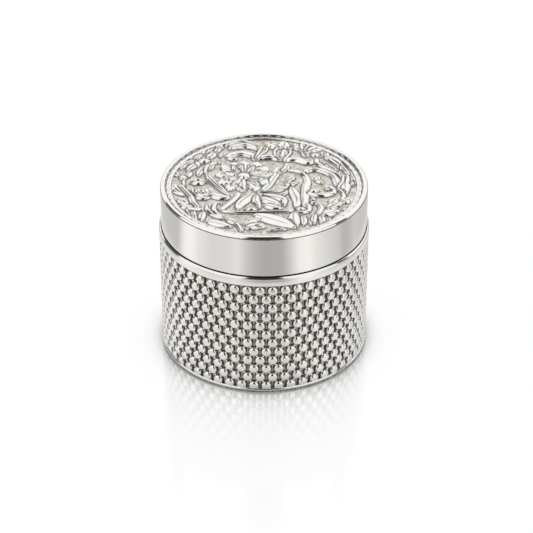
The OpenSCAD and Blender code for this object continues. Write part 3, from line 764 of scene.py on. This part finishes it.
class Relief:
    """Heights above the ground of the plate, in mm, and oxide, on a square grid."""

    def __init__(self):
        self.side = int(2 * FIELD_R / CELL) + 1
        line = np.linspace(-FIELD_R, FIELD_R, self.side)
        self.x, self.y = (v.ravel() for v in np.meshgrid(line, line))
        self.height = np.zeros(self.x.shape)
        self.oxide_and_shade = np.zeros(self.x.shape)

    def near(self, low, high):
        inside = (self.x > low[0]) & (self.x < high[0]) & (self.y > low[1]) & (self.y < high[1])
        return np.nonzero(inside)[0]

    def lay(self, where, form, outside, cut=0.0):
        """Lays a form over what is there, and cuts the line round it. outside is the distance
        past the form's edge, and is negative within it. cut is the oxide in the form's own
        grooves."""
        under = self.height[where]
        beside = under * between(0.0, MOAT, outside)
        self.height[where] = np.where(outside > 0, beside, np.maximum(form, 0.2 * under))
        line = np.exp(-(((outside - 0.07) / LINE) ** 2))
        kept = np.where(outside > 0, self.oxide_and_shade[where], cut)
        self.oxide_and_shade[where] = np.maximum(kept, line)

    def stroke(self, kind, width, points):
        line = smooth_line(points, 14 * len(points))
        where = self.near(line.min(0) - width, line.max(0) + width)
        x, y = self.x[where], self.y[where]
        steps = np.diff(line, axis=0)
        lengths = np.hypot(*steps.T)
        total = lengths.sum()
        travelled = np.concatenate([[0], np.cumsum(lengths)])
        closest = np.full(x.shape, 1e9)
        along = np.zeros(x.shape)
        aside = np.zeros(x.shape)
        for i, (start, step) in enumerate(zip(line, steps)):
            dx, dy = x - start[0], y - start[1]
            t = np.clip((dx * step[0] + dy * step[1]) / (lengths[i] ** 2 + 1e-12), 0, 1)
            apart = np.hypot(dx - t * step[0], dy - t * step[1])
            nearer = apart < closest
            closest = np.where(nearer, apart, closest)
            along = np.where(nearer, travelled[i] + t * lengths[i], along)
            aside = np.where(nearer, np.sign(step[0] * dy - step[1] * dx) * apart, aside)
        share = np.clip(along / total, 0, 1)
        swell, half, cut = FORMS[kind](share, aside, along, total, width)
        self.lay(where, crown(width) * swell * (1 - 0.45 * cut), closest - half, 0.85 * cut)

    def bud(self, x, y, long_r, short_r, high, turn):
        where = self.near((x - 3, y - 3), (x + 3, y + 3))
        dx, dy = self.x[where] - x, self.y[where] - y
        c, s = math.cos(math.radians(turn)), math.sin(math.radians(turn))
        share = np.hypot((dx * c + dy * s) / long_r, (dy * c - dx * s) / short_r)
        form = high * np.sqrt(np.clip(1 - share**2.2, 0, 1))
        self.lay(where, form, (share - 1) * min(long_r, short_r))

    def blurred(self, values, reach):
        """Values on the grid, softened over reach in mm."""
        grid = values.reshape(self.side, self.side)
        taps = np.arange(-3 * reach, 3 * reach + CELL, CELL)
        weights = np.exp(-((taps / reach) ** 2))
        weights /= weights.sum()
        for _ in range(2):
            grid = np.apply_along_axis(np.convolve, 0, grid, weights, mode="same").T
        return grid


def crown(width):
    """How high a form of this width stands."""
    return 0.32 + 0.08 * min(width, 2.2)


def groove(aside, width):
    """A cut along a line, from 1 on the line to 0 beside it."""
    return np.exp(-((aside / width) ** 2))


# Each form gives its swell, from 0 at its edge to 1 at its crest, its half width, and the
# grooves cut in it, for points along it (from 0 to 1, and in mm) and aside of its middle line.
def leaf_form(t, aside, along, total, width):
    half = np.maximum(width / 2 * np.sin(np.pi * t**0.85) ** 0.7, 1e-3)
    u = np.abs(aside) / half
    swell = np.sqrt(np.clip(1 - u**2.4, 0, 1))
    swell *= 0.45 + 0.55 * between(0, 0.7, along) * between(0, 0.7, total - along)
    cut = np.zeros(t.shape)
    if width > 1.25:
        cut = groove(aside + 0.15 * half, 0.11) * between(0.02, 0.15, t) * between(0.9, 0.6, t)
    return swell, half, cut


def stem_form(t, aside, along, total, width):
    half = width / 2 * np.sqrt(np.clip(6 * np.sin(np.pi * t), 1e-3, 1))
    swell = np.sqrt(np.clip(1 - (np.abs(aside) / half) ** 2, 0, 1))
    cut = np.zeros(t.shape)
    if width > 1.2:
        cut = 0.8 * groove(aside + 0.3 * half, 0.11) * between(0.02, 0.12, t)
    return swell, half, cut


def curl_form(t, aside, along, total, width):
    half = width / 2 * (0.45 + 0.55 * np.sin(np.pi * np.clip(1.2 * t, 0, 1)) ** 0.8)
    half *= np.sqrt(np.clip(6 * np.sin(np.pi * t), 1e-3, 1))
    swell = np.sqrt(np.clip(1 - (np.abs(aside) / half) ** 2.2, 0, 1))
    flute = groove(aside - 0.5 * half, 0.12) * between(0.95, 0.6, t) * between(0.05, 0.2, t)
    return swell, half, 0.7 * flute * float(width > 1.2)


def petal_form(t, aside, along, total, width):
    """A petal that is hollowed along its middle, with streaks and a ruffled edge."""
    half = width / 2 * np.sin(np.pi * t**0.95) ** 0.6 * (1 + 0.07 * np.sin(4.5 * along + width * 9))
    half = np.maximum(half, 1e-3)
    u = np.abs(aside) / half
    swell = np.sqrt(np.clip(1 - u**3, 0, 1))
    swell *= 0.62 + 0.38 * between(0.15, 0.8, u) * between(0.15, 0.5, t)
    streak = (0.5 + 0.5 * np.cos(2 * np.pi * aside / 0.75)) ** 4
    return swell, half, 0.6 * streak * between(0.9, 0.55, t) * between(1.0, 0.8, u)


FORMS = {"leaf": leaf_form, "stem": stem_form, "curl": curl_form, "petal": petal_form}


def drawn_relief():
    relief = Relief()
    layers = (
        ("leaf", LEAVES),
        ("curl", CURLS),
        ("stem", STEMS),
        ("petal", OUTER_PETALS),
        ("leaf", INNER_PETALS),
    )
    for kind, strokes in layers:
        if kind == "petal":
            for bud in BUDS:
                relief.bud(*bud)
        for width, *points in strokes:
            relief.stroke(kind, width, np.reshape(points, (-1, 2)))
    relief.bud(*BOSS)
    return relief


def disc_points(radius, cells):
    """A square grid of points pressed into a disc, evenly spaced all over it."""
    line = np.linspace(-1, 1, cells + 1)
    a, b = (v.ravel() for v in np.meshgrid(line, line))
    wide = np.abs(a) > np.abs(b)
    reach = np.where(wide, a, b)
    safe = np.where(reach == 0, 1, reach)
    turn = np.where(wide, np.pi / 4 * b / safe, np.pi / 2 - np.pi / 4 * a / safe)
    return radius * reach * np.cos(turn), radius * reach * np.sin(turn)


def sampled(grid, x, y):
    """Values of a grid over the field at points, in between its cells."""
    u = np.clip((x + FIELD_R) / CELL, 0, grid.shape[1] - 1.001)
    v = np.clip((y + FIELD_R) / CELL, 0, grid.shape[0] - 1.001)
    i, j = u.astype(int), v.astype(int)
    f, g = u - i, v - j
    near = grid[j, i] * (1 - f) + grid[j, i + 1] * f
    far = grid[j + 1, i] * (1 - f) + grid[j + 1, i + 1] * f
    return near * (1 - g) + far * g


PLATE_CELLS = 300


def chased_plate():
    relief = drawn_relief()
    fine = relief.blurred(relief.height, 0.06)
    lines = relief.blurred(relief.oxide_and_shade, 0.05)
    n = PLATE_CELLS
    x, y = disc_points(FIELD_R, n)
    inside = between(FIELD_R, FIELD_R - 0.25, np.hypot(x, y))
    height = sampled(fine, x, y) * inside
    # Oxide lies in the lines at the feet of the forms, and the open ground is only dulled.
    cut_lines = sampled(lines, x, y)
    at_border = 0.5 * between(FIELD_R - 0.2, FIELD_R, np.hypot(x, y))
    oxide_and_shade = np.maximum(0.9 * np.maximum(cut_lines, at_border), 0.05)
    oxide_and_shade *= 1 - between(0.10, 0.30, height) * (cut_lines < 0.1)
    ground = between(0.12, 0.03, height)

    top = np.column_stack([x, y, PLATE_TOP + height])
    grid = np.arange((n + 1) ** 2).reshape(n + 1, n + 1)
    faces = np.stack([grid[:-1, :-1], grid[:-1, 1:], grid[1:, 1:], grid[1:, :-1]], -1)
    faces = faces.reshape(-1, 4).tolist()
    edge = np.concatenate([grid[0, :-1], grid[:-1, -1], grid[-1, :0:-1], grid[:0:-1, 0]])
    count = len(edge)
    rings = [edge.tolist()]
    points = [top]
    outward = top[edge, :2] / FIELD_R
    for radius, height_at in ((PLATE_R, PLATE_TOP), (PLATE_R, BAND_TOP)):
        start = sum(len(p) for p in points)
        points.append(np.column_stack([radius * outward, np.full(count, height_at)]))
        rings.append(list(range(start, start + count)))
    middle = sum(len(p) for p in points)
    points.append(np.array([[0, 0, BAND_TOP]]))
    for low, high in zip(rings, rings[1:]):
        for k in range(count):
            after = (k + 1) % count
            faces.append([low[k], low[after], high[after], high[k]])
    faces += [[rings[-1][k], rings[-1][(k + 1) % count], middle] for k in range(count)]
    extra = middle + 1 - len(top)
    return piece_from(
        "lid_plate_silver",
        np.vstack(points),
        faces,
        CHASED,
        tarnish_and_shade=np.concatenate([oxide_and_shade, np.full(extra, 0.3)]),
        ground=np.concatenate([ground, np.ones(extra)]),
        sharp=60,
    )


lid_plate = chased_plate()
place_piece(lid_plate, "lid", "chased_silver", "lid_plate")

# ------------------------ the chased border wire

BORDER_STEPS = 20
BORDER_WIDE = 16
# Across the wire, as shares of its width: the inner edge of the wavy groove, and its swing
GROOVE_PLACE = 0.78
GROOVE_SWING = 0.10
GROOVE_HALF_WIDTH = 0.11


def border_height(u, v):
    """Height and oxide of one scallop, for u round the wire and v across it, both from 0 to 1."""
    run = math.pi * (BORDER_R + FIELD_R) / BORDER_SCALLOPS
    wide = BORDER_R - FIELD_R
    # The wire's outer edge is cut in scallops, with a dark wavy groove between it and the rim.
    arch = np.abs(np.sin(np.pi * (u + 0.1)))
    wave = GROOVE_PLACE + GROOVE_SWING * arch
    wire = np.sin(np.pi * np.clip(v / wave, 0, 1))
    deep = groove((v - wave - 0.03) * wide, GROOVE_HALF_WIDTH)
    height = np.where(v < wave, 0.16 + 0.12 * wire, 0.50) * (1 - 0.5 * deep)
    # A fine wavy line runs along the wire's crest, and a short hook from each scallop's corner.
    fine = 0.5 * groove((v - 0.32 - 0.16 * arch) * wide, 0.07)
    hook = np.full(u.shape, 1e9)
    for px, py in smooth_line([(0.9, 0.76), (0.84, 0.5), (0.7, 0.3)], 12):
        hook = np.minimum(hook, np.hypot((u - px) * run, (v - py) * wide))
    fine = np.maximum(fine, 0.7 * groove(hook, 0.08))
    dark = np.maximum(np.maximum(0.8 * deep, 0.7 * fine), 0.5 * between(0.07, 0.0, v))
    return height * (1 - 0.2 * fine), dark


def border_scallop():
    outer_r = BORDER_R - SOLDER_GAP
    step = 2 * math.pi / BORDER_SCALLOPS
    points, oxide_and_shade = [], []
    around = BORDER_WIDE + 3
    for i in range(BORDER_STEPS + 1):
        share = i / BORDER_STEPS
        v = np.linspace(0, 1, BORDER_WIDE + 1)
        height, dark = border_height(np.full(v.shape, share), v)
        radius = FIELD_R + v * (outer_r - FIELD_R)
        c, s = math.cos(share * step), math.sin(share * step)
        points += [(r * c, r * s, PLATE_TOP + h) for r, h in zip(radius, height)]
        points += [(r * c, r * s, PLATE_TOP) for r in (outer_r, FIELD_R)]
        oxide_and_shade += [*dark, 0.5, 0.5]
    faces = []
    for i in range(BORDER_STEPS):
        for k in range(around):
            after = (k + 1) % around
            low, high = i * around, (i + 1) * around
            faces.append([low + k, low + after, high + after, high + k])
    return piece_from("lid_border_silver", points, faces, CHASED, tarnish_and_shade=oxide_and_shade, sharp=50)


lid_border = repeated(border_scallop(), Rows=1, In_a_row=BORDER_SCALLOPS, Finish=CHASED)
place_piece(lid_border, "lid", "chased_silver", "lid_border")

# ------------------------ velvet

PAD_ROLL = 0.4
PAD_RINGS = 40
PILE_UNEVEN = 0.04


def brushed_pad(name, radius, low, high, up):
    """A round pad, crowned on the side that shows, with its edge rolled over."""
    shown, back = (high, low) if up else (low, high)
    sign = 1 if up else -1
    roll = PAD_ROLL
    section = [(0, back)]
    section += [(radius, back), (radius, back + sign * (abs(high - low) - roll) * 0.5)]
    section += [
        (radius - roll + roll * math.cos(a), shown - sign * (roll - roll * math.sin(a)))
        for a in np.linspace(0, math.pi / 2, 9)
    ]
    flat_r = np.linspace(radius - roll - 0.3, 0, PAD_RINGS)
    section += [(r, shown - sign * 0.05) for r in flat_r]
    pad = turned(name, section, VELVET, segments=160, sharp=0)
    for vertex in pad.data.vertices:
        x, y, z = (c / MM for c in vertex.co)
        if abs(z - shown) < 0.3:
            wave = math.sin(0.9 * x + 0.4 * y) * math.sin(0.7 * y - 0.3 * x + 1.1)
            inside = float(between(radius, radius - 2, math.hypot(x, y)))
            vertex.co.z += sign * PILE_UNEVEN * wave * inside * MM
    return pad


floor_pad = brushed_pad("floor_pad_velvet", FLOOR_PAD_R, BASE_T, BASE_T + FLOOR_PAD_T, True)
place_piece(floor_pad, "box", "velvet", "floor_lining")

lid_pad = brushed_pad("lid_pad_velvet", LID_PAD_R, BACKING_Z - LID_PAD_T, BACKING_Z, False)
place_piece(lid_pad, "lid", "velvet", "lid_lining")

HEM_R = (WALL_LINING_R - CAVITY_R) / 2
wall_velvet = turned(
    "wall_velvet",
    [(CAVITY_R, BASE_T), (WALL_LINING_R, BASE_T), (WALL_LINING_R, WALL_LINING_TOP - HEM_R)]
    + arc(CAVITY_R + HEM_R, WALL_LINING_TOP - HEM_R, HEM_R, 0, 180, 12)
    + [(CAVITY_R, z) for z in np.linspace(WALL_LINING_TOP - 1, BASE_T + 1, 40)],
    VELVET,
    sharp=60,
)
place_piece(wall_velvet, "box", "velvet", "wall_lining")

# ------------------------ floor, light and camera

# Painted tone of the table's glow all round, which only the silver's reflections see: bearing in
# degrees and tone
TABLE_TONES = (
    (-180, 0.42), (-168, 0.48), (-160, 0.64), (-154, 0.76), (-147, 0.80), (-138, 0.66),
    (-129, 0.61), (-96, 0.57), (-92, 0.68), (-85, 0.93), (-76, 0.99), (-66, 0.84),
    (-51, 0.73), (-34, 0.75), (-25, 0.82), (-17, 0.64), (-8, 0.50), (0, 0.44),
    (17, 0.46), (25, 0.66), (33, 0.92), (43, 0.97), (51, 0.83), (68, 0.69),
    (77, 0.64), (85, 0.50), (94, 0.53), (103, 0.63), (120, 0.60), (156, 0.64),
    (170, 0.48), (180, 0.42),
)
# Near the box the tones of the table are more even, by this share of the far tone and this much
# of their own. The near tones give way to the far ones over these distances past the foot, in mm.
NEAR_SHARE = 0.35
NEAR_TONE = 0.55
NEAR_ENDS = (34, 41)
# Close to the foot the table's glow is darkened with painted shade of the box, out to this many mm.
FOOT_SHADE = 0.25
FOOT_SHADE_END = 6
# The table's glow behind the box is darkened with painted shade, and the foot of the tent there
# is darker; both start softly between two places: past the foot and behind the middle of the box,
# in mm, and on the tent, as shares of its size, behind the middle and above the table.
HORIZON_DEPTH = 0.45
TABLE_FAR = (90, 170)
TABLE_BEHIND = (30, 60)
TENT_BEHIND = (0.35, 0.55)
TENT_FOOT = (0.08, 0.20)
# What the camera sees of the table: its own light, the depth and reach in mm of the contact
# shadow painted into that light, and the mirror image's strength at the foot, far out, and its
# reach in mm
TABLE_LIFT = 0.87
CONTACT_DEPTH = 0.62
CONTACT_REACH = 1.3
IMAGE_AT_FOOT = 0.27
IMAGE_FAR = 0.05
IMAGE_REACH = 9

TENT_TONE = 1.0
# Dark gaps between the panels of the tent, one at each side, that lean backwards as they rise:
# side, place and half width towards the back, and how much light is missing
TENT_GAPS = (
    (-1, 0.32, 0.22, 0.90),
    (1, -0.07, 0.13, 0.90),
)
GAP_LEAN = 0.58
GAP_SOFT = 0.03
GAP_BESIDE = 0.30
# The tent opens towards the front, in a gap that narrows as it rises overhead.
OPENING_HALF_WIDTH = 0.40
OPENING_END = math.radians(140)
OPENING_DEPTH = 0.97
DARKEST = 0.03


def falling(value, start, end):
    """Inputs of a map range that goes from 1 at start to 0 at end."""
    return [value, start, end, 1.0, 0.0]


SOFTLY = {"interpolation_type": "SMOOTHSTEP"}


def table_material():
    """A glossy white table top. The camera sees it white, with the box's contact shadow, partly
    painted into its light, and a soft mirror image that fades outwards, and the silver sees tones
    painted into a glow that only reflections show."""
    material, tree = new_material("white lacquer")
    place = add(tree, "ShaderNodeTexCoord").outputs["Object"]
    seen = add(tree, "ShaderNodeLightPath").outputs
    axes = add(tree, "ShaderNodeSeparateXYZ", {"Vector": place}).outputs
    front = add(tree, "MULTIPLY", [axes["Y"], -1.0])
    bearing = add(tree, "ARCTAN2", [axes["X"], front])
    away = add(tree, "ShaderNodeVectorMath", {0: place}, operation="LENGTH")
    past_foot = add(tree, "SUBTRACT", [away, BASE_R * MM])
    past_foot = add(tree, "MAXIMUM", [past_foot, 0.0])

    # What the silver mirrors of the table is painted light: the table glows with these tones for
    # glossy rays only.
    whole_turn = add(tree, "MULTIPLY_ADD", [bearing, 0.5 / math.pi, 0.5])
    ramp = add(tree, "ShaderNodeValToRGB", {"Fac": whole_turn})
    stops = ramp.color_ramp.elements
    stops.remove(stops[1])
    for i, (angle, tone) in enumerate(TABLE_TONES):
        position = (angle + 180) / 360
        stop = stops[0] if i == 0 else stops.new(position)
        stop.position = position
        stop.color = (tone, tone, tone, 1)
    start, end = NEAR_ENDS
    near = falling(past_foot, start * MM, end * MM)
    near = add(tree, "ShaderNodeMapRange", near, **SOFTLY)
    even = add(tree, "MULTIPLY_ADD", [ramp, NEAR_SHARE, NEAR_TONE])
    tone = add(tree, "ShaderNodeMix", {"Factor": near, "A": ramp, "B": even}, data_type="FLOAT")

    close = falling(past_foot, 0.0, FOOT_SHADE_END * MM)
    close = add(tree, "ShaderNodeMapRange", close, **SOFTLY)
    shade = add(tree, "MULTIPLY_ADD", [close, -FOOT_SHADE, 1.0])
    start, end = TABLE_FAR
    far = falling(past_foot, end * MM, start * MM)
    far = add(tree, "ShaderNodeMapRange", far, **SOFTLY)
    start, end = TABLE_BEHIND
    behind = falling(front, -end * MM, -start * MM)
    behind = add(tree, "ShaderNodeMapRange", behind, **SOFTLY)
    far = add(tree, "MULTIPLY", [far, behind])
    shade = add(tree, "MULTIPLY_ADD", [far, -HORIZON_DEPTH, shade])
    strength = add(tree, "MULTIPLY", [tone, shade])
    # The painted glow, with painted shade near the foot and behind the box, is what glossy rays
    # see.
    painted_mirror_glow = add(tree, "ShaderNodeEmission", {"Color": linear("#FFFEFC"), "Strength": strength})

    chalky = add(tree, "ShaderNodeBsdfDiffuse", {"Color": linear("#808080")})
    # The contact shadow is painted: the light that the camera sees is dimmed close to the foot.
    painted_contact_shade = add(tree, "DIVIDE", [past_foot, -CONTACT_REACH * MM])
    painted_contact_shade = add(tree, "EXPONENT", [painted_contact_shade])
    painted_contact_shade = add(tree, "MULTIPLY_ADD", [painted_contact_shade, -CONTACT_DEPTH, TABLE_LIFT])
    lift = add(tree, "MULTIPLY", [seen["Is Camera Ray"], painted_contact_shade])
    lift = add(tree, "ShaderNodeEmission", {"Color": (1, 1, 1, 1), "Strength": lift})
    body = add(tree, "ShaderNodeAddShader", [chalky, lift])
    lacquer = add(tree, "ShaderNodeBsdfAnisotropic", {"Color": (1, 1, 1, 1), "Roughness": 0.12})
    image = add(tree, "DIVIDE", [past_foot, -IMAGE_REACH * MM])
    image = add(tree, "EXPONENT", [image])
    image = add(tree, "MULTIPLY_ADD", [image, IMAGE_AT_FOOT, IMAGE_FAR])
    shown = add(tree, "ShaderNodeMixShader", [image, body, lacquer])
    surface = add(tree, "ShaderNodeMixShader", [seen["Is Glossy Ray"], shown, painted_mirror_glow])
    add(tree, "ShaderNodeOutputMaterial", {"Surface": surface})
    return material


def light_tent():
    """Soft white light from all sides, with dark gaps for the silver to mirror. The camera sees
    plain white."""
    world = bpy.data.worlds.new("light tent")
    world.use_nodes = True
    tree = world.node_tree
    tree.nodes.clear()
    place = add(tree, "ShaderNodeTexCoord").outputs["Generated"]
    seen = add(tree, "ShaderNodeLightPath").outputs
    axes = add(tree, "ShaderNodeSeparateXYZ", {"Vector": place}).outputs
    front = add(tree, "MULTIPLY", [axes["Y"], -1.0])

    tent = TENT_TONE
    risen = add(tree, "MULTIPLY", [axes["Z"], axes["Z"]])
    lean = add(tree, "MULTIPLY", [risen, GAP_LEAN])
    upright = add(tree, "SUBTRACT", [axes["Y"], lean])
    for side, middle, half_width, depth in TENT_GAPS:
        apart = add(tree, "SUBTRACT", [upright, middle])
        apart = add(tree, "ABSOLUTE", [apart])
        gap = falling(apart, half_width - GAP_SOFT, half_width + GAP_SOFT)
        gap = add(tree, "ShaderNodeMapRange", gap, **SOFTLY)
        beside = add(tree, "MULTIPLY", [axes["X"], side])
        beside = falling(beside, GAP_BESIDE + 0.05, GAP_BESIDE - 0.05)
        beside = add(tree, "ShaderNodeMapRange", beside, **SOFTLY)
        gap = add(tree, "MULTIPLY", [gap, beside])
        tent = add(tree, "MULTIPLY_ADD", [gap, -depth, tent])

    rise = add(tree, "ARCTAN2", [axes["Z"], front])
    narrowing = -OPENING_HALF_WIDTH / OPENING_END
    half_width = add(tree, "MULTIPLY_ADD", [rise, narrowing, OPENING_HALF_WIDTH])
    inside = add(tree, "ABSOLUTE", [axes["X"]])
    inside = add(tree, "SUBTRACT", [inside, half_width])
    opening = add(tree, "ShaderNodeMapRange", falling(inside, -GAP_SOFT, GAP_SOFT), **SOFTLY)
    tent = add(tree, "MULTIPLY_ADD", [opening, -OPENING_DEPTH, tent])

    level = add(tree, "ABSOLUTE", [axes["Z"]])
    horizon = add(tree, "ShaderNodeMapRange", falling(level, *TENT_FOOT), **SOFTLY)
    start, end = TENT_BEHIND
    behind = add(tree, "ShaderNodeMapRange", falling(front, -end, -start), **SOFTLY)
    horizon = add(tree, "MULTIPLY", [horizon, behind])
    tent = add(tree, "MULTIPLY_ADD", [horizon, -HORIZON_DEPTH, tent])
    tent = add(tree, "MAXIMUM", [tent, DARKEST])
    shown = {"Factor": seen["Is Camera Ray"], "A": tent, "B": 1.0}
    shown = add(tree, "ShaderNodeMix", shown, data_type="FLOAT")
    backdrop = add(tree, "ShaderNodeBackground", {"Color": (1, 1, 1, 1), "Strength": shown})
    add(tree, "ShaderNodeOutputWorld", {"Surface": backdrop})
    return world


TABLE_REACH = 4.0  # metres each way


def studio():
    mesh = bpy.data.meshes.new("table_top")
    square = ((-1, -1), (1, -1), (1, 1), (-1, 1))
    corners = [(TABLE_REACH * x, TABLE_REACH * y, 0) for x, y in square]
    mesh.from_pydata(corners, [], [(0, 1, 2, 3)])
    mesh.materials.append(table_material())
    table_top = bpy.data.objects.new("table_top", mesh)
    bpy.context.scene.collection.objects.link(table_top)
    bpy.context.scene.world = light_tent()
    bpy.context.scene.view_settings.view_transform = "Standard"


CAMERA_ELEVATION = 33.03
CAMERA_DISTANCE = 401.7
CAMERA_TARGET = (0.518, 0.0, 17.14)
CAMERA_LENS = 125.28


def camera():
    view = bpy.data.cameras.new("camera")
    view.lens = CAMERA_LENS
    view.sensor_width = 36
    view.clip_start = 0.01
    holder = bpy.data.objects.new("camera", view)
    bpy.context.scene.collection.objects.link(holder)
    lift = math.radians(CAMERA_ELEVATION)
    back = Vector((0, -math.cos(lift), math.sin(lift)))
    holder.location = (Vector(CAMERA_TARGET) + back * CAMERA_DISTANCE) * MM
    holder.rotation_euler = (-back).to_track_quat("-Z", "Y").to_euler()
    bpy.context.scene.camera = holder


studio()
camera()
